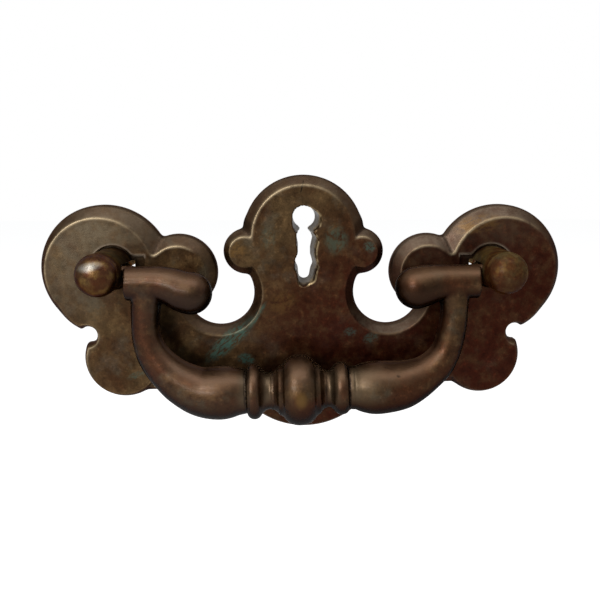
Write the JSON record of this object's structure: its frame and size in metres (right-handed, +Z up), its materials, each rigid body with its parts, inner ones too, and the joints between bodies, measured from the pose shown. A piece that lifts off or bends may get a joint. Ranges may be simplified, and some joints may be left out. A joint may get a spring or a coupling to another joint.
{
  "type": "drawer pull",
  "caption": "Batwing drawer pull: pierced backplate with keyhole, ball-headed posts on threaded studs, and a heavy swinging bail with a turned centre.",
  "frame": {"origin": "midway between the two posts, in the plane of the plate's back, which lies on the drawer front", "axes": "+Z up as it hangs on a drawer, -Y out of the drawer front towards the user, +X along the plate to its right end"},
  "size_m": [0.1408, 0.0491, 0.0699],
  "materials": {
    "plate_brass": "aged cast brass, dark olive to red-brown patina with pale worn edges",
    "bail_brass": "aged cast brass, warm brown, satin from handling",
    "post_brass": "aged turned brass, mottled gold and brown",
    "nut_brass": "aged brass, dull"
  },
  "bodies": {
    "base": {"backplate": "plate_brass", "post_left": "post_brass", "post_right": "post_brass", "nut_left": "nut_brass", "nut_right": "nut_brass"},
    "bail": {"bail": "bail_brass"}
  },
  "joints": [
    {"name": "bail_swing", "type": "hinge", "parent": "base", "child": "bail", "pos_m": [0, -0.015, 0], "axis": [-1, 0, 0], "range_deg": [0, 180]}
  ]
}
